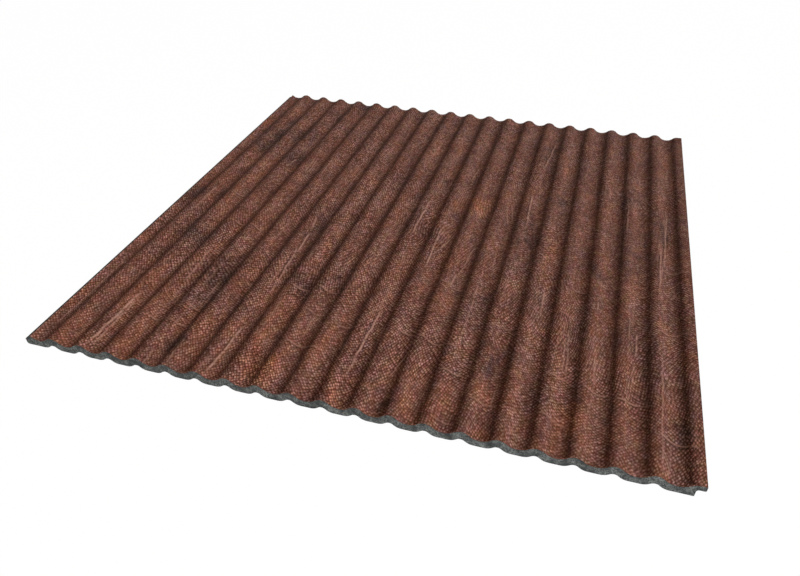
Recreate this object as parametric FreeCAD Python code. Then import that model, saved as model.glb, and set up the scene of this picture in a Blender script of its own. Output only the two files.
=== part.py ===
"""Grooved wall panel sample: a foamed plastic board with a waved face, cut square from the long stock.

The section lies in the XZ plane and runs unchanged along Y.
X runs across the waves, Y along them and Z from the wall outwards.
The origin is the middle of the back, on the plane of the feet.
All sizes are in millimetres and degrees.
"""
import FreeCAD, Part
import math
import os

# Waved face, measured on the outside of the film
WAVE_PITCH = 15.0
WAVE_COUNT = 20
WAVE_DEPTH = 2.95
CREST_RADIUS = 4.6
PANEL_THICKNESS = 6.6
PANEL_LENGTH = 304.5
FILM_THICKNESS = 0.3

# Relief channels in the back, one under each crest
CHANNEL_DEPTH = 2.1
CHANNEL_TOP_RADIUS = 2.4
CHANNEL_FLANK_ANGLE = 39.0
FOOT_EDGE_RADIUS = 5.4

# Lip at the right edge, which covers the ledge of the next panel
LIP_PAST_CREST = 2.6
LIP_REACH = 3.4
LIP_UNDERSIDE_HEIGHT = 4.0
LIP_ROOT_RADIUS = 1.2
LIP_TIP_RADIUS = 0.5
REBATE_FOOT_RADIUS = 0.4

# Ledge at the left edge, which goes under the lip of the panel before
LEDGE_NOSE_RADIUS = 1.3
LEDGE_TOP_RADIUS = 0.5

# Clearances of the joint between two panels
JOINT_FACE_GAP = 0.2
JOINT_DEPTH_GAP = 0.7
JOINT_HEIGHT_GAP = 0.5

# The shape of one wave: a crest arc and a valley arc that meet with one tangent
half_pitch = WAVE_PITCH / 2
valley_radius = (half_pitch ** 2 + WAVE_DEPTH ** 2) / (2 * WAVE_DEPTH) - CREST_RADIUS
flank_angle = math.degrees(math.asin(half_pitch / (CREST_RADIUS + valley_radius)))
crest_centre_height = PANEL_THICKNESS - CREST_RADIUS
valley_centre_height = PANEL_THICKNESS - WAVE_DEPTH + valley_radius

# The shape of one channel: an arc at its top, two straight flanks and an arc at each foot
channel_arc_rise = (CHANNEL_TOP_RADIUS + FOOT_EDGE_RADIUS) * (1 - math.cos(math.radians(CHANNEL_FLANK_ANGLE)))
channel_arc_run = (CHANNEL_TOP_RADIUS + FOOT_EDGE_RADIUS) * math.sin(math.radians(CHANNEL_FLANK_ANGLE))
channel_flank_run = (CHANNEL_DEPTH - channel_arc_rise) / math.tan(math.radians(CHANNEL_FLANK_ANGLE))
channel_half_width = channel_arc_run + channel_flank_run

# Places across the panel, counted first from the first crest
module_width = WAVE_COUNT * WAVE_PITCH
lip_end_from_crest = (WAVE_COUNT - 1) * WAVE_PITCH + LIP_PAST_CREST
rebate_wall_from_crest = lip_end_from_crest - LIP_REACH
film_start_from_crest = lip_end_from_crest + JOINT_FACE_GAP - module_width
ledge_nose_from_crest = rebate_wall_from_crest + JOINT_DEPTH_GAP - module_width
panel_width = lip_end_from_crest - ledge_nose_from_crest

# The same places from the middle of the panel
first_crest_x = -panel_width / 2 - ledge_nose_from_crest
last_crest_x = first_crest_x + (WAVE_COUNT - 1) * WAVE_PITCH
lip_end_x = first_crest_x + lip_end_from_crest
rebate_wall_x = first_crest_x + rebate_wall_from_crest
film_start_x = first_crest_x + film_start_from_crest
ledge_nose_x = first_crest_x + ledge_nose_from_crest
ledge_height = LIP_UNDERSIDE_HEIGHT - JOINT_HEIGHT_GAP
core_top = PANEL_THICKNESS - FILM_THICKNESS
near_edge_y = -PANEL_LENGTH / 2


def point(x, z):
    """Return a point of the section at the near edge."""
    return FreeCAD.Vector(x, near_edge_y, z)


def line(start, end):
    """Return a straight edge between two (x, z) places."""
    return Part.LineSegment(point(*start), point(*end)).toShape()


def on_circle(centre, radius, angle):
    """Return the (x, z) place at an angle on a circle."""
    turn = math.radians(angle)
    return centre[0] + radius * math.cos(turn), centre[1] + radius * math.sin(turn)


def arc(centre, radius, start_angle, end_angle):
    """Return an arc about a centre, from one angle to another."""
    middle_angle = (start_angle + end_angle) / 2
    places = [on_circle(centre, radius, angle) for angle in (start_angle, middle_angle, end_angle)]
    return Part.Arc(*[point(*place) for place in places]).toShape()


def wave_height(x, depth):
    """Return the height of the waved face at x, on a surface that lies a depth under the film's outside."""
    from_crest = abs((x - first_crest_x + half_pitch) % WAVE_PITCH - half_pitch)
    crest_arc_radius = CREST_RADIUS - depth
    if from_crest <= crest_arc_radius * math.sin(math.radians(flank_angle)):
        return crest_centre_height + math.sqrt(crest_arc_radius ** 2 - from_crest ** 2)
    valley_arc_radius = valley_radius + depth
    return valley_centre_height - math.sqrt(valley_arc_radius ** 2 - (half_pitch - from_crest) ** 2)


def wave_edges(x_from, x_to, depth):
    """Return the arcs of the waved face from left to right, cut off at both ends.

    A surface under the outside keeps the centres: crest arcs shrink by the depth and valley arcs grow.
    """
    edges = []
    for wave in range(-1, WAVE_COUNT + 1):
        crest_x = first_crest_x + wave * WAVE_PITCH
        halves = (
            ((crest_x, crest_centre_height), CREST_RADIUS - depth, 90, -1),
            ((crest_x + half_pitch, valley_centre_height), valley_radius + depth, 270, 1),
        )
        for centre, radius, middle, side in halves:
            reach = radius * math.sin(math.radians(flank_angle))
            left = max(centre[0] - reach, x_from)
            right = min(centre[0] + reach, x_to)
            if right <= left:
                continue
            turns = [math.degrees(math.asin((x - centre[0]) / radius)) for x in (left, right)]
            edges.append(arc(centre, radius, middle + side * turns[0], middle + side * turns[1]))
    return edges


def channel_edges(crest_x):
    """Return the edges of one relief channel from right to left."""
    top_centre = (crest_x, CHANNEL_DEPTH - CHANNEL_TOP_RADIUS)
    right_centre = (crest_x + channel_half_width, FOOT_EDGE_RADIUS)
    left_centre = (crest_x - channel_half_width, FOOT_EDGE_RADIUS)
    turn = CHANNEL_FLANK_ANGLE
    return [
        arc(right_centre, FOOT_EDGE_RADIUS, 270, 270 - turn),
        line(on_circle(right_centre, FOOT_EDGE_RADIUS, 270 - turn), on_circle(top_centre, CHANNEL_TOP_RADIUS, 90 - turn)),
        arc(top_centre, CHANNEL_TOP_RADIUS, 90 - turn, 90 + turn),
        line(on_circle(top_centre, CHANNEL_TOP_RADIUS, 90 + turn), on_circle(left_centre, FOOT_EDGE_RADIUS, 270 + turn)),
        arc(left_centre, FOOT_EDGE_RADIUS, 270 + turn, 270),
    ]


def back_edges():
    """Return the feet and channels from the rebate's corner to the ledge's nose.

    The last wave has no channel: its foot is solid, to carry the lip.
    """
    edges = []
    foot_right = rebate_wall_x - REBATE_FOOT_RADIUS
    for wave in reversed(range(WAVE_COUNT - 1)):
        crest_x = first_crest_x + wave * WAVE_PITCH
        edges.append(line((foot_right, 0), (crest_x + channel_half_width, 0)))
        edges += channel_edges(crest_x)
        foot_right = crest_x - channel_half_width
    edges.append(line((foot_right, 0), (ledge_nose_x + LEDGE_NOSE_RADIUS, 0)))
    return edges


def lip_edges():
    """Return the flat top of the lip, its end, its underside and the rebate's wall, from top to foot."""
    tip_centre = (lip_end_x - LIP_TIP_RADIUS, LIP_UNDERSIDE_HEIGHT + LIP_TIP_RADIUS)
    root_centre = (rebate_wall_x + LIP_ROOT_RADIUS, LIP_UNDERSIDE_HEIGHT - LIP_ROOT_RADIUS)
    foot_centre = (rebate_wall_x - REBATE_FOOT_RADIUS, REBATE_FOOT_RADIUS)
    return [
        line((last_crest_x, core_top), (lip_end_x, core_top)),
        line((lip_end_x, core_top), (lip_end_x, tip_centre[1])),
        arc(tip_centre, LIP_TIP_RADIUS, 0, -90),
        line((tip_centre[0], LIP_UNDERSIDE_HEIGHT), (root_centre[0], LIP_UNDERSIDE_HEIGHT)),
        arc(root_centre, LIP_ROOT_RADIUS, 90, 180),
        line((rebate_wall_x, root_centre[1]), (rebate_wall_x, REBATE_FOOT_RADIUS)),
        arc(foot_centre, REBATE_FOOT_RADIUS, 0, -90),
    ]


def ledge_edges():
    """Return the ledge's nose and top and the step up to the waved face, from foot to top."""
    nose_centre = (ledge_nose_x + LEDGE_NOSE_RADIUS, LEDGE_NOSE_RADIUS)
    top_centre = (ledge_nose_x + LEDGE_TOP_RADIUS, ledge_height - LEDGE_TOP_RADIUS)
    return [
        arc(nose_centre, LEDGE_NOSE_RADIUS, 270, 180),
        line((ledge_nose_x, nose_centre[1]), (ledge_nose_x, top_centre[1])),
        arc(top_centre, LEDGE_TOP_RADIUS, 180, 90),
        line((top_centre[0], ledge_height), (film_start_x, ledge_height)),
        line((film_start_x, ledge_height), (film_start_x, wave_height(film_start_x, FILM_THICKNESS))),
    ]


def run_along(edges):
    """Close the edges to a section and carry it over the length of the panel."""
    face = Part.Face(Part.Wire(edges))
    return face.extrude(FreeCAD.Vector(0, PANEL_LENGTH, 0))


def core_board():
    """Build the foamed core with its waves, channels, lip and ledge."""
    waves = wave_edges(film_start_x, last_crest_x, FILM_THICKNESS)
    return run_along(waves + lip_edges() + back_edges() + ledge_edges())


def leather_film():
    """Build the decor film, laid on the waves from the ledge's step to the end of the lip."""
    inside = wave_edges(film_start_x, last_crest_x, FILM_THICKNESS)
    inside.append(line((last_crest_x, core_top), (lip_end_x, core_top)))
    outside = wave_edges(film_start_x, last_crest_x, 0)
    outside.append(line((last_crest_x, PANEL_THICKNESS), (lip_end_x, PANEL_THICKNESS)))
    inside_start = (film_start_x, wave_height(film_start_x, FILM_THICKNESS))
    outside_start = (film_start_x, wave_height(film_start_x, 0))
    right_end = line((lip_end_x, PANEL_THICKNESS), (lip_end_x, core_top))
    left_end = line(inside_start, outside_start)
    return run_along(outside + [right_end] + inside[::-1] + [left_end])


def write_parts():
    """Write each piece to its own file and say how large it is."""
    os.makedirs("parts", exist_ok=True)
    pieces = {"core_board": core_board(), "leather_film": leather_film()}
    for name, shape in pieces.items():
        shape.exportStep("parts/" + name + ".step")
        box = shape.BoundBox
        print(name, "valid", shape.isValid(), "solids", len(shape.Solids), "volume cm3", round(shape.Volume / 1000, 2))
        print("  box", [round(v, 3) for v in (box.XMin, box.XMax, box.YMin, box.YMax, box.ZMin, box.ZMax)])
    print("overlap mm3", round(pieces["core_board"].common(pieces["leather_film"]).Volume, 4))


write_parts()
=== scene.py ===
import math

import bpy
import numpy as np
from mathutils import Matrix, Vector


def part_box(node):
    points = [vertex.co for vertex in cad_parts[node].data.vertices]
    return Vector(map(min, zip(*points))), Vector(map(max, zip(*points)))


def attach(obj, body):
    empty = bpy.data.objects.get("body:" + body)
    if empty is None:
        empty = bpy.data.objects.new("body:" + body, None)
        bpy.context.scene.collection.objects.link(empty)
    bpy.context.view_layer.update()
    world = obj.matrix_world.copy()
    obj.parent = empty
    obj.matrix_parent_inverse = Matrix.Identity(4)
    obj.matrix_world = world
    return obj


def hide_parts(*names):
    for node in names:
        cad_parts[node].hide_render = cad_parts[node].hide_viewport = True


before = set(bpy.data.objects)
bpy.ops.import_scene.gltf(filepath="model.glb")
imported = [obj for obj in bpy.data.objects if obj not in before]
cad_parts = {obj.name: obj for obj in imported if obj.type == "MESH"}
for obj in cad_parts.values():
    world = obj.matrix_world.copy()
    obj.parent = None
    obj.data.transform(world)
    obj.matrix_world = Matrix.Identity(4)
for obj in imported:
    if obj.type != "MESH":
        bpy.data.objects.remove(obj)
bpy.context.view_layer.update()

# Sizes of the panel, in metres
MM = 0.001
WAVE_PITCH = 15 * MM
WAVE_COUNT = 20
WAVE_DEPTH = 2.95 * MM
CREST_RADIUS = 4.6 * MM
LIP_PAST_CREST = 2.6 * MM
FILM_THICKNESS = 0.3 * MM

# The film's box in the frame, its two cut edges, and its first and last crest
FILM_LOW, FILM_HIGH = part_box("leather_film")
NEAR_Y, FAR_Y = FILM_LOW.y, FILM_HIGH.y
FIRST_CREST = FILM_HIGH.x - LIP_PAST_CREST - (WAVE_COUNT - 1) * WAVE_PITCH
LAST_CREST = FIRST_CREST + (WAVE_COUNT - 1) * WAVE_PITCH

# The film's grid: strips of a few waves each, so that no mesh grows too large
STRIP_WAVES = 4
STRIP_COLUMNS = 152
ROWS = 640

# How the film was cut: held back a little at both cut edges, worn in places, and trimmed at the ledge
FILM_EDGE_INSET = 0.02 * MM
FILM_EDGE_WEAR = 0.30 * MM
WEAR_LENGTH = 3 * MM
FILM_LEFT_TRIM = 0.45 * MM

# Leather grain: the steps between beads and their height, and in steps their reach and how far they stray
BEAD_ACROSS = 1.80 * MM
BEAD_ALONG = 1.95 * MM
BEAD_DEPTH = 0.13 * MM
BEAD_REACH = 0.38
BEAD_DISORDER = 0.36

# The rows of beads sway by noise and are stirred by swirls: widths in millimetres, turns in radians
ROW_SWAY = 4 * MM
SWAY_LENGTH = 20 * MM
SWIRL_COUNT = 36
SWIRL_WIDTHS = (18, 42)
SWIRL_TURNS = (0.25, 0.6)

# Where the grain is weaker: in flat places of this size, and towards the right, between these two x
FLAT_PLACE_ACROSS = 24 * MM
FLAT_PLACE_ALONG = 36 * MM
GRAIN_IN_FLAT_PLACES = 0.7
FADE_START = -20 * MM
FADE_END = 150 * MM
FADE_SHARE = 0.24

# The soft uneven feel of the hide under the grain, and the deepest that any relief may go
HIDE_DEPTH = 0.05 * MM
HIDE_ACROSS = 9 * MM
HIDE_ALONG = 16 * MM
RELIEF_LIMIT = 0.2 * MM

# Lines in the leather: half width and wander of each kind, in metres
CREASE_LINE = (0.6 * MM, 1.5 * MM)
CREASE_HOLLOW_AND_SHADE_LINE = (0.65 * MM, 1.5 * MM)
SCUFF_LINE = (0.5 * MM, 0.8 * MM)
SCUFF_HOLLOW_AND_SHADE_LINE = (0.6 * MM, 0.8 * MM)
FAINT_LINE = (0.45 * MM, 0.6 * MM)
# A hollow runs beside each crease and scuff: real relief, which is also darkened in colour as painted shade
HOLLOW_BESIDE_LINE = 0.9 * MM
HOLLOW_DEPTH = 0.6 * BEAD_DEPTH
SCUFF_PAINTED_SHADE_SHARE = 0.8
LINE_CORE = 0.25
LINE_TAPER = 0.18
WANDER_LENGTH = 5 * MM
BREAK_LENGTH = 1.4 * MM

# Creases across the waves, as x and y of both ends in millimetres, and how strongly they show
CREASES = (
    (-105, -60, -93, -61.5, 0.6), (-91, -110.5, -82, -111, 0.9), (-105, -123, -80, -123.5, 0.8),
    (-63, -113, -51, -114.5, 0.7), (-136, -143, -129, -143, 0.5), (-46, -81, -35, -82.5, 1.0),
    (-33, -79, -18, -80.5, 0.9), (-34, -98.5, -18, -98, 0.7), (-46, -121, -34, -122, 0.5),
    (-33, -120.5, -13, -122.5, 1.0), (-14, -52, -7, -53, 0.9), (-14, -77, -8, -78, 0.7),
    (-15, -102, 3, -104.5, 0.7), (15, -97.5, 26, -100.5, 0.9), (26, -100.5, 48, -104, 1.0),
    (26, -56, 41, -61.5, 1.0), (46, -60.5, 56, -61.5, 0.8), (15, -53, 22, -56.5, 0.6),
    (41, -120.5, 53, -118.5, 0.8), (27, -131, 38, -131.5, 0.5), (12, -138.5, 17, -139.5, 0.6),
    (45, -147, 56, -147.5, 0.6), (56, -84, 71, -82.5, 1.0), (73, -65.5, 82, -66.5, 0.9),
    (87, -65, 101, -66.5, 0.6), (87, -109, 98, -109.5, 1.0), (102, -113, 116, -114.5, 0.8),
    (116, -116, 132, -115.5, 1.0), (134, -66, 149, -65, 0.8), (56, -132.5, 71, -133, 0.6),
    (86, -132.5, 100, -136.5, 0.7), (134, -130, 150, -134, 1.0), (-105, -33, -80, -38, 1.0),
    (-122, -3, -107, -5, 0.9), (-121, -43.5, -108, -43, 0.9), (-137, -45, -128, -45.5, 0.6),
    (-91, 13.5, -83, 12.5, 0.8), (-104, 36.5, -93, 32.5, 0.8), (-14, 12, 9, 10.5, 0.8),
    (-13, 32.5, -5, 29.5, 0.6), (1, 31, 10, 27, 0.6), (-45, 45, -36, 42, 0.5),
    (115, 2, 129, 4.5, 1.0), (101, -36.5, 136, -40, 1.0), (92, -42.5, 101, -45.5, 0.8),
    (136, -14.5, 150, -15.5, 0.8), (-137, 92, -126, 93.5, 0.7), (134, 62, 146, 63, 0.5),
)

# Scuffs along the waves, in the same terms
SCUFFS = (
    (-118.6, -151, -117.6, -105, 0.9), (-116.9, -150, -116.6, -112, 0.6), (-57.2, -151, -55.4, -113, 1.0),
    (-57.2, -45, -54.6, -91, 0.8), (-102.8, -60, -101.6, -95, 0.6), (-84, -88, -84.6, -110, 0.7),
    (-144, -78, -144, -142, 0.5), (-77, -142, -75.5, -151, 0.8), (4.2, -82, 3.0, -136, 1.0),
    (33.6, -46, 32.6, -58, 0.8), (26, -110, 21, -130, 0.7), (46.6, -50, 46.4, -104, 0.4),
    (57.6, -45, 56.2, -66, 0.6), (79.8, -46, 79.8, -67, 0.9), (94.4, -76, 96.4, -110, 0.6),
    (125.6, -68, 125, -86, 1.0), (124.2, -90, 124, -106, 0.5), (136.3, -78, 135.6, -151, 0.35),
    (106, -52, 106.2, -59, 0.5), (107, -90, 108.2, -112, 0.5), (-100.8, 52, -103, 38, 0.8),
    (-88.2, 54, -87.6, 34, 0.6), (-86.6, 54, -86.2, 36, 0.7), (-85.2, 52, -84.6, 36, 0.5),
    (-75.8, 56, -75, 30, 0.8), (-53, 52, -54.8, 22, 0.8), (-56.8, -32, -55.8, -52, 1.0),
    (-58.4, -16, -57.2, -28, 0.6), (1.6, 22, 0.8, -20, 0.9), (15.8, -8, 16.4, -50, 0.8),
    (24, -8, 17, -36, 0.9), (37.6, -17, 33.8, -52, 0.8), (60.6, 46, 62.2, 4, 0.9),
    (49.5, 34, 54.4, 8, 0.6), (47.8, 26, 51.6, 8, 0.5), (118, 52, 117.8, 14, 0.8),
    (140.4, 52, 138.2, -16, 0.8), (136.6, 8, 135.4, -36, 0.8), (67, 126, 63.6, 84, 1.0),
    (21.6, 74, 20.2, 54, 0.7), (-133.4, 2, -133.8, -22, 0.5),
)

# Faint scuffs strewn by chance: how many, and their half lengths in millimetres, lean and strengths
FAINT_SCUFFS = 160
FAINT_HALF_LENGTHS = (4, 16)
FAINT_LEAN = 0.04
FAINT_STRENGTHS = (0.12, 0.45)

# Dark stains, as the middle, half width and half length in millimetres, and how strongly they show
STAINS = (
    (-85, -80, 9, 15, 0.9), (-84, -105, 8, 11, 0.55), (-79, -136, 6, 8, 0.82), (-120, -50, 14, 11, 0.74),
    (-130, 75, 8, 21, 0.95), (-111, 85, 8, 16, 0.75), (-101, 50, 6, 12, 0.85), (-127, 0, 6, 14, 0.6),
    (-144, -10, 8, 13, 0.8), (-52, -32, 8, 18, 0.6), (-42, -77, 9, 8, 0.52), (-25, -76, 9, 14, 0.6),
    (25, -146, 8, 8, 0.42), (39, -64, 3, 5, 0.5), (62, -108, 9, 12, 0.62), (53, -70, 6, 11, 0.55),
    (132, -90, 5, 16, 0.5), (143, -124, 5, 11, 0.6), (63, 5, 10, 26, 0.55), (80, 40, 6, 16, 0.57),
    (137, 22, 5, 20, 0.7), (104, -28, 4, 10, 0.53), (-128, 106, 6, 8, 0.7), (65, 105, 8, 26, 0.52),
    (117, 56, 3, 10, 0.55), (-22, 62, 6, 8, 0.4), (-7, 28, 6, 8, 0.65), (5, 52, 8, 12, 0.5),
    (-76, 2, 5, 18, 0.26), (122, -72, 4, 14, 0.55), (-83, 146, 5, 5, 0.7), (-95, 125, 5, 14, 0.5),
    (77, -57, 3, 6, 0.55), (120, -8, 16, 20, 0.42),
)

# Tan places, in the same terms
TAN_PLACES = (
    (-103, -131, 5, 12, 0.35), (-116, -84, 4, 9, 0.45), (-114, -118, 9, 16, 0.65), (-34, -141, 7, 12, 1.15),
    (-42, -122, 5, 20, 0.65), (62, -129, 8, 8, 0.65), (31, 23, 9, 11, 1.0), (82, -88, 4, 14, 0.45),
    (80, -12, 7, 20, 0.5), (99, -132, 6, 8, 1.35), (19, 20, 5, 9, 0.9), (-132, -15, 3, 10, 0.5),
    (-99, -52, 5, 20, 0.6), (3, -146, 6, 8, 0.7), (33, -142, 4, 8, 0.8), (-40, -28, 4, 8, 0.5),
    (77, 78, 5, 14, 0.6), (-128, 40, 7, 11, 0.55), (-86, -18, 6, 9, 0.3), (-12, 90, 6, 11, 0.55),
    (-38, 35, 7, 10, 0.5), (24, -45, 9, 15, 0.65), (-146, 98, 3, 9, 0.8),
)

# How fast stains and tan places fade from their middles, the blotches that make their edges ragged, in the
# same terms as the dye below, how much these add to each, and the sums at which each begins and is full
PATCH_FALL = 0.7
PATCH_EDGE = (150, 0.5, 4.0, 0.2, 0.8)
TAN_RAGGED, TAN_ENDS = 0.5, (0.45, 1.15)
STAIN_RAGGED, STAIN_ENDS = 0.7, (0.45, 1.35)

# Colours of the leather, and how much of each line's colour is laid over it
LEATHER_BROWN = (0.129, 0.0530, 0.0363)
# Painted shade: a near black laid in the hollows beside creases and scuffs
PAINTED_SHADE_COLOUR, PAINTED_SHADE_SHARE = (0.020, 0.009, 0.007), 0.6
CREASE_COLOUR, CREASE_SHARE = (0.34, 0.19, 0.15), 0.50
SCUFF_COLOUR, SCUFF_SHARE = (0.38, 0.22, 0.175), 0.68

# Tints that multiply the leather's brown, where white leaves it as it is
WHITE = (1, 1, 1)
TAN_TINT = (1.33, 1.25, 1.10)
STAIN_TINT = (0.49, 0.59, 0.67)
# Grain print, dark between the beads and pale on them, which also paints shade in the gaps and a highlight
# on the bead tips
GAP_PRINT_AND_SHADE_TINT = (0.34, 0.25, 0.215)
BEAD_PRINT_AND_HIGHLIGHT_TINT = (2.85, 3.55, 4.05)

# A painted sheen: the brown turns paler and bluer from the near left to the far right corner, between these
# sums of x and y
PAINTED_SHEEN_ENDS = (-0.30, 0.30)
PAINTED_SHEEN_TINTS = ((1.02, 0.975, 0.945), (0.96, 1.035, 1.09))

# The uneven dye, broad and fine. Each row has the blotches a metre across the waves, the share of that
# along them, which slice of the noise to take, the noise levels of their edges, and the low and high tint
DYE = (
    (90, 0.5, 1.0, 0.36, 0.64, (1.04, 0.98, 0.925), (0.96, 1.02, 1.075)),
    (300, 0.6, 11.0, 0.32, 0.68, (1.04, 0.945, 0.955), (0.96, 1.055, 1.045)),
    (260, 0.6, 14.0, 0.32, 0.68, (1.0, 1.02, 0.88), (1.0, 0.98, 1.12)),
    (70, 0.5, 6.0, 0.34, 0.66, (0.86, 0.85, 0.88), (1.14, 1.15, 1.12)),
    (200, 0.5, 3.0, 0.32, 0.68, (0.895, 0.905, 0.885), (1.105, 1.095, 1.115)),
    (620, 0.07, 8.0, 0.30, 0.70, (0.91, 0.91, 0.91), (1.09, 1.09, 1.09)),
    (520, 0.5, 21.0, 0.32, 0.68, (0.855, 0.83, 0.82), (1.145, 1.18, 1.20)),
    (1300, 0.6, 25.0, 0.32, 0.68, (0.67, 0.58, 0.545), (1.33, 1.44, 1.50)),
    (800, 0.6, 33.0, 0.32, 0.68, (1.035, 0.965, 0.97), (0.965, 1.035, 1.03)),
)

# How the leather takes the light: its roughness, its gloss and the height of the finest grain
LEATHER_ROUGHNESS = (0.55, 0.70)
LEATHER_GLOSS = 0.012
LEATHER_BUMP = 0.12 * MM

# Colours of the foam: darkest and lightest, its pits, the gaps between its cells and its pale specks
FOAM_DARK = (0.038, 0.041, 0.040)
FOAM_LIGHT = (0.090, 0.097, 0.094)
PIT_TINT = (0.62, 0.62, 0.64)
BETWEEN_PITS_TINT = (1.38, 1.38, 1.36)
CELL_GAP = (0.022, 0.024, 0.026)
SPECK = (0.35, 0.36, 0.36)

# The foam's cells a metre, its roughness between and on them, its gloss and the height of a cell
CELLS_A_METRE = 1500
FOAM_ROUGHNESS = (0.95, 0.75)
FOAM_GLOSS = 0.05
FOAM_BUMP = 0.25 * MM

# Camera: place in metres, turns in degrees, and the lens for a 36 mm sensor
CAMERA_PLACE = (86.3 * MM, -325.6 * MM, 215.0 * MM)
CAMERA_YAW = 16.84
CAMERA_PITCH = 52.05
CAMERA_ROLL = -0.37
CAMERA_LENS = 30.01
SENSOR_WIDTH = 36.0

# Lamp: place and diameter in metres, and how bright it makes a white matt face that is turned to it in the
# middle of the panel, where 1 is white
LAMP_PLACE = (1.379, -1.379, 1.017)
LAMP_SIZE = 0.70
LAMP_LEVEL = 1.64

# Surround and floor: the level and tint of the surround on the object, the floor's size and colour, the
# share of plain white that the camera sees on it, and the narrow gap under the panel's feet
AMBIENT_LEVEL = 0.225
AMBIENT_COLOUR = (1.0, 0.83, 0.64)
FLOOR_SIZE = 4.0
FLOOR_COLOUR = (0.90, 0.90, 0.90)
FLOOR_WHITE = 0.985
FLOOR_GAP = 0.05 * MM


def wave_segments():
    """Rows of (side, centre x, centre z, radius, first angle, last angle) along the film, left to right.

    A crest is an arc about a centre below it (side 1), a valley an arc about a centre above it (side -1).
    Angles are measured from the vertical and positive to the right. The arcs meet with one tangent: their
    radii add up to (p^2 + d^2) / 2d, with p half a pitch and d the depth, and p over that sum is the sine
    of the angle where they meet.
    """
    half = WAVE_PITCH / 2
    reach_sum = (half ** 2 + WAVE_DEPTH ** 2) / (2 * WAVE_DEPTH)
    valley_radius = reach_sum - CREST_RADIUS
    flank = math.asin(half / reach_sum)
    crest_z = FILM_HIGH.z - CREST_RADIUS
    valley_z = FILM_HIGH.z - WAVE_DEPTH + valley_radius
    rows = []
    for wave in range(-1, WAVE_COUNT):
        crest = FIRST_CREST + wave * WAVE_PITCH
        arcs = ((1, crest, crest_z, CREST_RADIUS), (-1, crest + half, valley_z, valley_radius))
        for side, x, z, radius in arcs:
            low = max(x - radius * math.sin(flank), FILM_LOW.x)
            high = min(x + radius * math.sin(flank), LAST_CREST)
            if high > low:
                angles = (math.asin((low - x) / radius), math.asin((high - x) / radius))
                rows.append((side, x, z, radius, *angles))
    return np.array(rows)


SEGMENTS = wave_segments()
SEGMENT_STARTS = np.concatenate([[0], np.cumsum(SEGMENTS[:, 3] * (SEGMENTS[:, 5] - SEGMENTS[:, 4]))])
LIP_START = SEGMENT_STARTS[-1]
FILM_WIDTH = LIP_START + LIP_PAST_CREST


def film_section(s):
    """x, z and the outward normal of the film's face at the arc length s from its left edge.

    On a crest x = cx + r sin a and z = cz + r cos a. In a valley z = cz - r cos a. The lip is straight.
    """
    index = np.clip(np.searchsorted(SEGMENT_STARTS, s, side="right") - 1, 0, len(SEGMENTS) - 1)
    side, cx, cz, radius, first = (SEGMENTS[index, k] for k in range(5))
    angle = first + (s - SEGMENT_STARTS[index]) / radius
    on_lip = s > LIP_START
    x = np.where(on_lip, FILM_HIGH.x - (FILM_WIDTH - s), cx + radius * np.sin(angle))
    z = np.where(on_lip, FILM_HIGH.z, cz + side * radius * np.cos(angle))
    nx = np.where(on_lip, 0.0, side * np.sin(angle))
    nz = np.where(on_lip, 1.0, np.cos(angle))
    return x, z, nx, nz


def smooth(edge_low, edge_high, value):
    """A smooth step: 3 t^2 - 2 t^3 of the value's share between the two edges."""
    t = np.clip((value - edge_low) / (edge_high - edge_low), 0, 1)
    return t * t * (3 - 2 * t)


def field(u, v, seed, size=64):
    """Smooth noise from 0 to 1: random values on a whole-number lattice, blended by quintic weights."""
    lattice = np.random.default_rng(seed).random((size, size))
    iu, iv = np.floor(u).astype(int), np.floor(v).astype(int)
    fu, fv = u - iu, v - iv
    wu = fu ** 3 * (fu * (fu * 6 - 15) + 10)
    wv = fv ** 3 * (fv * (fv * 6 - 15) + 10)
    a, b = iu % size, (iu + 1) % size
    c, d = iv % size, (iv + 1) % size
    low = lattice[a, c] * (1 - wu) + lattice[b, c] * wu
    high = lattice[a, d] * (1 - wu) + lattice[b, d] * wu
    return low * (1 - wv) + high * wv


def layered(u, v, seed, layers=3):
    """Noise at several scales added up, each half as large and half as strong as the one before."""
    total = sum(field(u * 2 ** k, v * 2 ** k, seed + k) / 2 ** k for k in range(layers))
    return total / sum(1 / 2 ** k for k in range(layers))


def swirled(s, t):
    """The hide's coordinates stirred by swirls, one after the other, so that rows of beads swing about.

    A swirl turns each point about its middle by the angle a exp(-(r / w)^2), where r is the distance to
    the middle, so it keeps areas as they are and fades out at its rim.
    """
    rng = np.random.default_rng(131)
    for _ in range(SWIRL_COUNT):
        middle_s, middle_t = rng.uniform(0, FILM_WIDTH), rng.uniform(NEAR_Y, FAR_Y)
        width = rng.uniform(*SWIRL_WIDTHS) * MM
        angle = rng.uniform(*SWIRL_TURNS) * rng.choice((-1, 1))
        ds, dt = s - middle_s, t - middle_t
        turn = angle * np.exp(-(ds ** 2 + dt ** 2) / width ** 2)
        s = middle_s + ds * np.cos(turn) - dt * np.sin(turn)
        t = middle_t + ds * np.sin(turn) + dt * np.cos(turn)
    return s, t


def bead_places(s, t):
    """Where each point lies on the grain, in steps along its two slanting rows of beads.

    The beads are staggered: each row is shifted by half a step from the one before. Noise sways the rows.
    """
    s, t = swirled(s, t)
    u, v = s / SWAY_LENGTH, t / SWAY_LENGTH
    across = (s + ROW_SWAY * (layered(u, v, seed=11, layers=2) - 0.5)) / BEAD_ACROSS
    along = (t + ROW_SWAY * (layered(u, v, seed=23, layers=2) - 0.5)) / BEAD_ALONG
    return along + across, along - across


def turned(word, places):
    """A 32-bit word with its bits turned round to the left."""
    return (word << np.uint32(places)) | (word >> np.uint32(32 - places))


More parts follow.
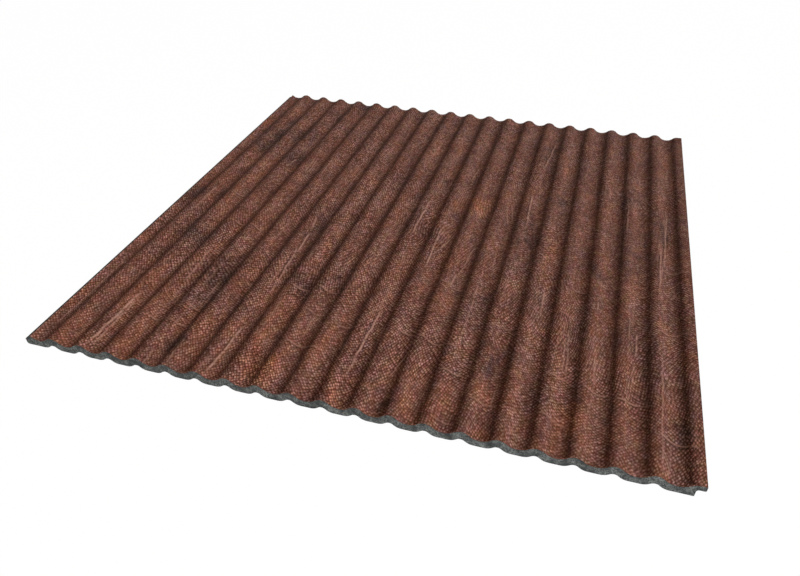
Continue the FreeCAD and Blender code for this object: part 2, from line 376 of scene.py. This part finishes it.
def scatter(*numbers):
    """An even random value from 0 to 1 for each set of numbers, mixed from their bits.

    It is the mixing that Blender's cell textures use, so the relief made with it and a cell texture on the
    same coordinates have their cells in the same places. Each step mixes one of three words with another.
    """
    words = [np.ascontiguousarray(n, np.float32).view(np.uint32) for n in numbers]
    start = np.uint32((0xDEADBEEF + 4 * len(words) + 13) % 2 ** 32)
    mixed = [start + word for word in words + [np.zeros_like(words[0])] * (3 - len(words))]
    steps = ((2, 1, 14), (0, 2, 11), (1, 0, 25), (2, 1, 16), (0, 2, 4), (1, 0, 14), (2, 1, 24))
    for changed, by, places in steps:
        mixed[changed] ^= mixed[by]
        mixed[changed] -= turned(mixed[by], places)
    return mixed[2] / (2 ** 32 - 1)


def bead_distance(u, v):
    """Distance to the nearest bead's middle, in steps: each square of the grid holds one, at random."""
    farthest = 9.0
    nearest = np.full(u.shape, farthest)
    for step_u in (-1, 0, 1):
        for step_v in (-1, 0, 1):
            cell_u, cell_v = np.floor(u) + step_u, np.floor(v) + step_v
            middle_u = cell_u + BEAD_DISORDER * scatter(cell_u, cell_v)
            middle_v = cell_v + BEAD_DISORDER * scatter(cell_u, cell_v, np.ones(u.shape))
            nearest = np.minimum(nearest, np.hypot(middle_u - u, middle_v - v))
    return nearest


def line_marks(x, y, rows, width, ragged):
    """How strongly each point shows one of the lines: 1 on its middle, 0 a width away and past its ends.

    Each row holds both ends and a strength. A line wanders from straight by slow noise, tapers off at its
    ends and is broken up by finer noise. Only the grid's points near a line are worked out.
    """
    marks = np.zeros(x.shape)
    for number, (x0, y0, x1, y1, strength) in enumerate(rows):
        x0, y0, x1, y1 = x0 * MM, y0 * MM, x1 * MM, y1 * MM
        room = 2 * width + ragged
        columns = (x[0] > min(x0, x1) - room) & (x[0] < max(x0, x1) + room)
        lines = (y[:, 0] > min(y0, y1) - room) & (y[:, 0] < max(y0, y1) + room)
        if not columns.any() or not lines.any():
            continue
        part = np.ix_(lines, columns)
        length = math.hypot(x1 - x0, y1 - y0)
        ux, uy = (x1 - x0) / length, (y1 - y0) / length
        along = (x[part] - x0) * ux + (y[part] - y0) * uy
        aside = (y[part] - y0) * ux - (x[part] - x0) * uy
        own_row = np.full(along.shape, number + 0.5)
        own_start = 7.3 * number
        wander = ragged * (field(along / WANDER_LENGTH + own_start, own_row, seed=61) - 0.5)
        near = 1 - smooth(LINE_CORE * width, width, np.abs(aside - wander))
        ends = smooth(0, LINE_TAPER, along / length) * smooth(0, LINE_TAPER, 1 - along / length)
        patchy = 0.3 + 0.7 * smooth(0.2, 0.6, field(along / BREAK_LENGTH, own_row, seed=67))
        marks[part] = np.maximum(marks[part], strength * near * ends * patchy)
    return marks


def faint_scuffs():
    """Short, weak scuffs strewn over the whole face, in the same terms as the ones above."""
    rng = np.random.default_rng(71)
    x = rng.uniform(FILM_LOW.x / MM, FILM_HIGH.x / MM, FAINT_SCUFFS)
    y = rng.uniform(NEAR_Y / MM, FAR_Y / MM, FAINT_SCUFFS)
    half = rng.uniform(*FAINT_HALF_LENGTHS, FAINT_SCUFFS)
    lean = rng.normal(0, FAINT_LEAN, FAINT_SCUFFS)
    strength = rng.uniform(*FAINT_STRENGTHS, FAINT_SCUFFS)
    return np.stack([x - lean * half, y - half, x + lean * half, y + half, strength], 1)


def soft_patches(x, y, rows):
    """How strongly each point lies in a patch: exp(-f ((dx / w)^2 + (dy / l)^2)), the strongest kept."""
    total = np.zeros(x.shape)
    for px, py, wide, long, strength in rows:
        fall = ((x - px * MM) / (wide * MM)) ** 2 + ((y - py * MM) / (long * MM)) ** 2
        total = np.maximum(total, strength * np.exp(-PATCH_FALL * fall))
    return total


def grain_presence(s, t, x):
    """How strong the grain is at each point: weaker in flat places and towards the right side."""
    flat = layered(s / FLAT_PLACE_ACROSS, t / FLAT_PLACE_ALONG, seed=83)
    presence = GRAIN_IN_FLAT_PLACES + (1 - GRAIN_IN_FLAT_PLACES) * smooth(0.35, 0.6, flat)
    return presence * (1 - FADE_SHARE * smooth(FADE_START, FADE_END, x))


def hide_face(s, t, x):
    """How deep the face lies under its highest points, and the masks and bead places for the finish.

    A bead rises as exp(-(d / r)^2) of the distance to its middle. Creases and scuffs press the grain flat
    at the beads' height, and a hollow runs beside each of them, in which painted shade is laid.
    """
    u, v = bead_places(s, t)
    presence = grain_presence(s, t, x)
    crease = line_marks(x, t, CREASES, *CREASE_LINE)
    # The hollows beside creases and scuffs are relief, and the same marks lay painted shade in the colour
    fold = line_marks(x, t + HOLLOW_BESIDE_LINE, CREASES, *CREASE_HOLLOW_AND_SHADE_LINE)
    scuff = line_marks(x, t, SCUFFS, *SCUFF_LINE)
    scuff_hollow_and_painted_shade = line_marks(x + HOLLOW_BESIDE_LINE, t, SCUFFS, *SCUFF_HOLLOW_AND_SHADE_LINE)
    faint = line_marks(x, t, faint_scuffs(), *FAINT_LINE)
    pressed = np.clip(crease + scuff + faint, 0, 1)
    bead = np.exp(-(bead_distance(u, v) / BEAD_REACH) ** 2)
    rise = presence * bead * (1 - pressed) + pressed
    slow = layered(s / HIDE_ACROSS, t / HIDE_ALONG, seed=97)
    depth = BEAD_DEPTH * (1 - rise) + HIDE_DEPTH * (1 - slow) + HOLLOW_DEPTH * np.maximum(fold, scuff_hollow_and_painted_shade)
    masks = {
        "grain": presence * (1 - pressed),
        "crease": crease,
        "fold": np.maximum(fold, SCUFF_PAINTED_SHADE_SHARE * scuff_hollow_and_painted_shade),
        "scuff": np.maximum(scuff, faint),
        "stain": soft_patches(x, t, STAINS),
        "tan": soft_patches(x, t, TAN_PLACES),
    }
    return np.clip(depth, 0, RELIEF_LIMIT), masks, u, v


def strip_points(s_line, t, section, depth):
    """A strip's points: its face row by row, and then the near and the far edge of its back.

    The face is the section at its arc length, carried along y, and lowered by the relief along its normal.
    The back lies one film thickness under the section, and both cut edges are worn back by noise.
    """
    x, z, nx, nz = section
    face = np.stack([x - nx * depth, t, z - nz * depth], axis=-1)
    wear = FILM_EDGE_WEAR * layered(s_line / WEAR_LENGTH, np.zeros(s_line.shape), seed=101)
    face[0, :, 1] += FILM_EDGE_INSET + wear
    face[-1, :, 1] -= FILM_EDGE_INSET + wear
    back = face[[0, -1]]
    back[:, :, 0] = x - nx * FILM_THICKNESS
    back[:, :, 2] = z - nz * FILM_THICKNESS
    return np.concatenate([face.reshape(-1, 3), back.reshape(-1, 3)])


def strip_faces(face, back):
    """A strip's quads, its face first, and the two long walls at its sides, as numbers of its points."""
    top = np.stack([face[:-1, :-1], face[:-1, 1:], face[1:, 1:], face[1:, :-1]], -1).reshape(-1, 4)
    below = np.stack([back[0, :-1], back[1, :-1], back[1, 1:], back[0, 1:]], -1)
    near = np.stack([back[0, :-1], back[0, 1:], face[0, 1:], face[0, :-1]], -1)
    far = np.stack([back[1, 1:], back[1, :-1], face[-1, :-1], face[-1, 1:]], -1)
    left = [back[0, 0], *face[:, 0], back[1, 0]]
    right = [back[1, -1], *face[::-1, -1], back[0, -1]]
    return np.concatenate([top, below, near, far]), (left, right)


def fill_mesh(mesh, points, quads, walls, soft_count):
    """Put points, quads and many-cornered walls into a mesh. The first quads are shaded smooth."""
    loops = np.concatenate([quads.ravel(), *walls]).astype(np.int32)
    wall_starts = len(quads) * 4 + np.cumsum([0] + [len(wall) for wall in walls[:-1]])
    starts = np.concatenate([np.arange(len(quads)) * 4, wall_starts]).astype(np.int32)
    mesh.vertices.add(len(points))
    mesh.vertices.foreach_set("co", points.ravel())
    mesh.loops.add(len(loops))
    mesh.loops.foreach_set("vertex_index", loops)
    mesh.polygons.add(len(starts))
    mesh.polygons.foreach_set("loop_start", starts)
    mesh.polygons.foreach_set("use_smooth", np.arange(len(starts)) < soft_count)
    mesh.update(calc_edges=True)
    return loops


def add_layers(mesh, loops, maps, masks):
    """Store the maps as UV layers and the masks as point values. The back repeats the maps' edge rows."""
    for name, pair in maps.items():
        flat = np.stack([np.concatenate([values.ravel(), values[0], values[-1]]) for values in pair], -1)
        mesh.uv_layers.new(name=name).data.foreach_set("uv", flat[loops].ravel())
    for name, values in masks.items():
        layer = mesh.attributes.new(name, "FLOAT", "POINT")
        on_back = np.zeros(2 * values.shape[1])
        layer.data.foreach_set("value", np.concatenate([values.ravel(), on_back]).astype(np.float32))


def sharpen_rim(mesh, face):
    """Mark the edges along the four sides of the face as sharp."""
    side_bits = np.zeros(len(mesh.vertices), int)
    for bit, side in ((1, face[0]), (2, face[-1]), (4, face[:, 0]), (8, face[:, -1])):
        side_bits[side] |= bit
    ends = np.zeros(len(mesh.edges) * 2, np.int32)
    mesh.edges.foreach_get("vertices", ends)
    first, second = ends.reshape(-1, 2).T
    mesh.edges.foreach_set("use_edge_sharp", (side_bits[first] & side_bits[second]) > 0)


def film_strip(name, s_low, s_high, material):
    """One strip of the film as a closed mesh: a fine waved face, a plain back and walls between them."""
    s_line = np.linspace(s_low, s_high, STRIP_COLUMNS + 1)
    s, t = np.meshgrid(s_line, np.linspace(NEAR_Y, FAR_Y, ROWS + 1))
    section = film_section(s_line)
    depth, masks, bead_u, bead_v = hide_face(s, t, np.broadcast_to(section[0], s.shape))
    face = np.arange(s.size).reshape(s.shape)
    back = s.size + np.arange(2 * len(s_line)).reshape(2, -1)
    quads, walls = strip_faces(face, back)
    mesh = bpy.data.meshes.new(name)
    loops = fill_mesh(mesh, strip_points(s_line, t, section, depth), quads, walls, STRIP_COLUMNS * ROWS)
    add_layers(mesh, loops, {"unrolled": (s, t), "beads": (bead_u, bead_v)}, masks)
    mesh.validate()
    sharpen_rim(mesh, face)
    mesh.materials.append(material)
    strip = bpy.data.objects.new(name, mesh)
    bpy.context.scene.collection.objects.link(strip)
    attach(strip, "root")
    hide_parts("leather_film")


def build_film(material):
    """The film in strips of a few waves, which meet at the bottom of a valley."""
    valleys = [k for k, row in enumerate(SEGMENTS) if row[0] < 0 and row[1] > FIRST_CREST]
    valley_middles = [SEGMENT_STARTS[k] - SEGMENTS[k, 3] * SEGMENTS[k, 4] for k in valleys]
    cuts = [FILM_LEFT_TRIM] + valley_middles[STRIP_WAVES - 1:: STRIP_WAVES]
    cuts = [cut for cut in cuts if cut < FILM_WIDTH - WAVE_PITCH / 2] + [FILM_WIDTH]
    for number, (low, high) in enumerate(zip(cuts[:-1], cuts[1:]), 1):
        film_strip(f"leather_film_{number}", low, high, material)


def plug(tree, socket, value):
    """Link a socket to an input, or set the input to a plain number or colour, which gets an alpha of 1."""
    if isinstance(value, bpy.types.NodeSocket):
        tree.links.new(value, socket)
    elif isinstance(value, tuple) and socket.type == "RGBA":
        socket.default_value = (*value, 1)
    else:
        socket.default_value = value


def mix_colour(tree, share, first, second, how="MIX"):
    """A colour mix node. The share, first and second may be sockets or plain values."""
    made = tree.nodes.new("ShaderNodeMix")
    made.data_type, made.blend_type = "RGBA", how
    for socket, value in zip((made.inputs[0], made.inputs[6], made.inputs[7]), (share, first, second)):
        plug(tree, socket, value)
    return made.outputs[2]


def tinted(tree, colour, share, low, high):
    """The colour times a tint that goes from low to high with the share."""
    return mix_colour(tree, 1.0, colour, mix_colour(tree, share, low, high), "MULTIPLY")


def ramp(tree, value, low, high, bottom=0.0, top=1.0):
    """Map a value smoothly from between low and high to between bottom and top."""
    made = tree.nodes.new("ShaderNodeMapRange")
    made.interpolation_type = "SMOOTHSTEP"
    for name, number in (("From Min", low), ("From Max", high), ("To Min", bottom), ("To Max", top)):
        made.inputs[name].default_value = number
    tree.links.new(value, made.inputs["Value"])
    return made.outputs["Result"]


def maths(tree, how, first, second=0.0):
    """A maths node on sockets or plain numbers."""
    made = tree.nodes.new("ShaderNodeMath")
    made.operation = how
    for socket, value in zip(made.inputs, (first, second)):
        plug(tree, socket, value)
    return made.outputs[0]


def part_of(tree, value, share):
    """A value times a plain number."""
    return maths(tree, "MULTIPLY", value, share)


def mask(tree, name):
    """The value of one of the piece's own masks."""
    made = tree.nodes.new("ShaderNodeAttribute")
    made.attribute_name = name
    return made.outputs["Fac"]


def uv_place(tree, name):
    """The coordinates of one of the piece's own maps."""
    made = tree.nodes.new("ShaderNodeUVMap")
    made.uv_map = name
    return made.outputs["UV"]


def object_place(tree):
    """The coordinates of the piece itself, in metres."""
    return tree.nodes.new("ShaderNodeTexCoord").outputs["Object"]


def blotch_group():
    """Node group: soft blotches of stretched noise, from 0 to 1, with their edges set by Low and High."""
    group = bpy.data.node_groups.new("blotches", "ShaderNodeTree")
    group.interface.new_socket("Vector", in_out="INPUT", socket_type="NodeSocketVector")
    for name, value in (("Scale", 20.0), ("Stretch", 1.0), ("Shift", 0.0), ("Low", 0.45), ("High", 0.65)):
        socket = group.interface.new_socket(name, in_out="INPUT", socket_type="NodeSocketFloat")
        socket.default_value = value
    group.interface.new_socket("Mask", in_out="OUTPUT", socket_type="NodeSocketFloat")
    links = group.links
    source = group.nodes.new("NodeGroupInput")
    result = group.nodes.new("NodeGroupOutput")
    squeeze = group.nodes.new("ShaderNodeCombineXYZ")
    squeeze.inputs[0].default_value = 1.0
    squeeze.inputs[2].default_value = 1.0
    links.new(source.outputs["Stretch"], squeeze.inputs[1])
    scaled = group.nodes.new("ShaderNodeVectorMath")
    scaled.operation = "MULTIPLY"
    links.new(source.outputs["Vector"], scaled.inputs[0])
    links.new(squeeze.outputs[0], scaled.inputs[1])
    offset = group.nodes.new("ShaderNodeCombineXYZ")
    links.new(source.outputs["Shift"], offset.inputs[2])
    moved = group.nodes.new("ShaderNodeVectorMath")
    moved.operation = "ADD"
    links.new(scaled.outputs[0], moved.inputs[0])
    links.new(offset.outputs[0], moved.inputs[1])
    noise = group.nodes.new("ShaderNodeTexNoise")
    noise.inputs["Detail"].default_value = 4.0
    noise.inputs["Roughness"].default_value = 0.6
    links.new(moved.outputs[0], noise.inputs["Vector"])
    links.new(source.outputs["Scale"], noise.inputs["Scale"])
    edge = group.nodes.new("ShaderNodeMapRange")
    edge.interpolation_type = "SMOOTHSTEP"
    links.new(noise.outputs["Fac"], edge.inputs["Value"])
    links.new(source.outputs["Low"], edge.inputs["From Min"])
    links.new(source.outputs["High"], edge.inputs["From Max"])
    links.new(edge.outputs["Result"], result.inputs["Mask"])


def blotches(tree, vector, scale, stretch, shift, low, high):
    """Place the blotch group in a material and return its mask."""
    made = tree.nodes.new("ShaderNodeGroup")
    made.node_tree = bpy.data.node_groups["blotches"]
    pattern = {"Scale": scale, "Stretch": stretch, "Shift": shift, "Low": low, "High": high}
    for name, value in pattern.items():
        made.inputs[name].default_value = value
    tree.links.new(vector, made.inputs["Vector"])
    return made.outputs["Mask"]


def new_material(name):
    """An empty node material with a Principled shader."""
    material = bpy.data.materials.new(name)
    material.use_nodes = True
    tree = material.node_tree
    return material, tree, tree.nodes["Principled BSDF"]


def seen_directly(tree):
    """1 for a ray from the camera or from a glossy face, and 0 for the light that falls on the object."""
    path = tree.nodes.new("ShaderNodeLightPath")
    return maths(tree, "MAXIMUM", path.outputs["Is Camera Ray"], path.outputs["Is Glossy Ray"])


def add_bump(tree, shader, height, strength, distance):
    """Let a height bend the shader's normal."""
    bump = tree.nodes.new("ShaderNodeBump")
    bump.inputs["Strength"].default_value = strength
    bump.inputs["Distance"].default_value = distance
    tree.links.new(height, bump.inputs["Height"])
    tree.links.new(bump.outputs["Normal"], shader.inputs["Normal"])


def bead_nodes(tree):
    """Bead height and a random tone for each bead, on the same cells as the face's own relief."""
    cells = tree.nodes.new("ShaderNodeTexVoronoi")
    cells.voronoi_dimensions = "2D"
    cells.inputs["Scale"].default_value = 1.0
    cells.inputs["Randomness"].default_value = BEAD_DISORDER
    tree.links.new(uv_place(tree, "beads"), cells.inputs["Vector"])
    distance = maths(tree, "DIVIDE", cells.outputs["Distance"], BEAD_REACH)
    height = maths(tree, "EXPONENT", part_of(tree, maths(tree, "MULTIPLY", distance, distance), -1.0))
    tone = tree.nodes.new("ShaderNodeSeparateColor")
    tree.links.new(cells.outputs["Color"], tone.inputs[0])
    return height, tone.outputs[0]


def dyed_and_sheened_brown(tree, place):
    """The leather's brown with its painted sheen towards the far right corner, its uneven dye, its tan
    places and its dark stains.
    """
    corner_to_corner = tree.nodes.new("ShaderNodeVectorMath")
    corner_to_corner.operation = "DOT_PRODUCT"
    corner_to_corner.inputs[1].default_value = (1.0, 1.0, 0.0)
    tree.links.new(object_place(tree), corner_to_corner.inputs[0])
    # Painted sheen: the brown turns paler and bluer towards the far right corner
    painted_sheen = ramp(tree, corner_to_corner.outputs["Value"], *PAINTED_SHEEN_ENDS)
    colour = tinted(tree, LEATHER_BROWN, painted_sheen, *PAINTED_SHEEN_TINTS)
    for *pattern, low_tint, high_tint in DYE:
        colour = tinted(tree, colour, blotches(tree, place, *pattern), low_tint, high_tint)
    edge = blotches(tree, place, *PATCH_EDGE)
    tan = maths(tree, "ADD", mask(tree, "tan"), part_of(tree, edge, TAN_RAGGED))
    colour = tinted(tree, colour, ramp(tree, tan, *TAN_ENDS), WHITE, TAN_TINT)
    stain = maths(tree, "ADD", mask(tree, "stain"), part_of(tree, edge, STAIN_RAGGED))
    return tinted(tree, colour, ramp(tree, stain, *STAIN_ENDS), WHITE, STAIN_TINT)


def leather_material():
    """Printed leather: uneven brown with a painted sheen, pale beads and dark gaps that are print and also
    painted highlight and shade, pale scuffs and creases, and painted shade in the hollows beside them.
    """
    material, tree, shader = new_material("leather_film")
    place = uv_place(tree, "unrolled")
    height, tone = bead_nodes(tree)
    colour = dyed_and_sheened_brown(tree, place)
    # Pale bead tips over dark gaps: printed grain with a painted highlight on the tips and painted shade
    # between the beads
    bead = maths(tree, "MULTIPLY", height, ramp(tree, tone, 0.0, 1.0, 0.35, 1.0))
    grain = mix_colour(tree, mask(tree, "grain"), WHITE, mix_colour(tree, bead, GAP_PRINT_AND_SHADE_TINT, BEAD_PRINT_AND_HIGHLIGHT_TINT))
    colour = mix_colour(tree, 1.0, colour, grain, "MULTIPLY")
    # The first of these lays painted shade in the hollows beside creases and scuffs; creases and scuffs are
    # paler
    for name, share, line_colour in (
        ("fold", PAINTED_SHADE_SHARE, PAINTED_SHADE_COLOUR),
        ("crease", CREASE_SHARE, CREASE_COLOUR),
        ("scuff", SCUFF_SHARE, SCUFF_COLOUR),
    ):
        colour = mix_colour(tree, part_of(tree, mask(tree, name), share), colour, line_colour)
    tree.links.new(colour, shader.inputs["Base Color"])
    fine = blotches(tree, place, 900, 0.8, 2.0, 0.3, 0.7)
    tree.links.new(ramp(tree, fine, 0.0, 1.0, *LEATHER_ROUGHNESS), shader.inputs["Roughness"])
    shader.inputs["Specular IOR Level"].default_value = LEATHER_GLOSS
    raised = maths(tree, "ADD", height, part_of(tree, fine, 0.3))
    add_bump(tree, shader, maths(tree, "MULTIPLY", raised, mask(tree, "grain")), 1.0, LEATHER_BUMP)
    return material


def foam_material():
    """Grey foamed plastic: small cells with dark gaps, uneven tones and a few pale specks."""
    material, tree, shader = new_material("foam_core")
    place = object_place(tree)
    cells = tree.nodes.new("ShaderNodeTexVoronoi")
    cells.inputs["Scale"].default_value = CELLS_A_METRE
    tree.links.new(place, cells.inputs["Vector"])
    cell = ramp(tree, cells.outputs["Distance"], 0.1, 0.6)
    tone = blotches(tree, place, 260, 1.0, 3.0, 0.35, 0.65)
    colour = mix_colour(tree, tone, FOAM_DARK, FOAM_LIGHT)
    pits = blotches(tree, place, 700, 1.0, 9.0, 0.30, 0.70)
    colour = tinted(tree, colour, pits, PIT_TINT, BETWEEN_PITS_TINT)
    colour = mix_colour(tree, cell, CELL_GAP, colour)
    specks = blotches(tree, place, 900, 1.0, 7.0, 0.68, 0.74)
    colour = mix_colour(tree, specks, colour, SPECK)
    tree.links.new(colour, shader.inputs["Base Color"])
    shader.inputs["Specular IOR Level"].default_value = FOAM_GLOSS
    tree.links.new(ramp(tree, cell, 0.0, 1.0, *FOAM_ROUGHNESS), shader.inputs["Roughness"])
    add_bump(tree, shader, cell, 0.6, FOAM_BUMP)
    return material


def dress_core():
    """Give the foam board its material."""
    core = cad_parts["core_board"]
    core.data.materials.clear()
    core.data.materials.append(foam_material())


def white_floor():
    """A white floor that stays white to the camera and keeps a faint shadow of the panel."""
    mesh = bpy.data.meshes.new("floor")
    reach = FLOOR_SIZE / 2
    corners = [(x * reach, y * reach, -FLOOR_GAP) for x, y in ((-1, -1), (1, -1), (1, 1), (-1, 1))]
    mesh.from_pydata(corners, [], [(0, 1, 2, 3)])
    material, tree, shader = new_material("white_floor")
    shader.inputs["Base Color"].default_value = (*FLOOR_COLOUR, 1)
    shader.inputs["Roughness"].default_value = 0.9
    glow = tree.nodes.new("ShaderNodeEmission")
    blend = tree.nodes.new("ShaderNodeMixShader")
    tree.links.new(part_of(tree, seen_directly(tree), FLOOR_WHITE), blend.inputs[0])
    tree.links.new(shader.outputs[0], blend.inputs[1])
    tree.links.new(glow.outputs[0], blend.inputs[2])
    tree.links.new(blend.outputs[0], tree.nodes["Material Output"].inputs["Surface"])
    mesh.materials.append(material)
    floor = bpy.data.objects.new("floor", mesh)
    bpy.context.scene.collection.objects.link(floor)


def studio_light():
    """One soft round lamp high to the right in front, aimed at the panel, and an even warm surround."""
    place = Vector(LAMP_PLACE)
    lamp = bpy.data.lights.new("lamp", "AREA")
    lamp.shape = "DISK"
    lamp.size = LAMP_SIZE
    lamp.energy = LAMP_LEVEL * (math.pi * place.length) ** 2
    stand = bpy.data.objects.new("lamp", lamp)
    stand.location = place
    stand.rotation_euler = place.to_track_quat("Z", "Y").to_euler()
    bpy.context.scene.collection.objects.link(stand)
    world = bpy.data.worlds.new("surround")
    world.use_nodes = True
    tree = world.node_tree
    background = tree.nodes["Background"]
    seen = seen_directly(tree)
    level = maths(tree, "ADD", part_of(tree, seen, 1 - AMBIENT_LEVEL), AMBIENT_LEVEL)
    tree.links.new(mix_colour(tree, seen, AMBIENT_COLOUR, WHITE), background.inputs["Color"])
    tree.links.new(level, background.inputs["Strength"])
    bpy.context.scene.world = world


def place_camera():
    """The camera at the photograph's viewing angle."""
    camera = bpy.data.cameras.new("camera")
    camera.lens = CAMERA_LENS
    camera.sensor_width = SENSOR_WIDTH
    camera.clip_start = 0.01
    camera.clip_end = 20
    turn = (
        Matrix.Rotation(math.radians(CAMERA_YAW), 4, "Z")
        @ Matrix.Rotation(math.radians(CAMERA_PITCH), 4, "X")
        @ Matrix.Rotation(math.radians(CAMERA_ROLL), 4, "Z")
    )
    view = bpy.data.objects.new("camera", camera)
    view.matrix_world = Matrix.Translation(CAMERA_PLACE) @ turn
    bpy.context.scene.collection.objects.link(view)
    bpy.context.scene.camera = view


place_camera()
blotch_group()
build_film(leather_material())
dress_core()
white_floor()
studio_light()
bpy.context.scene.view_settings.view_transform = "Standard"
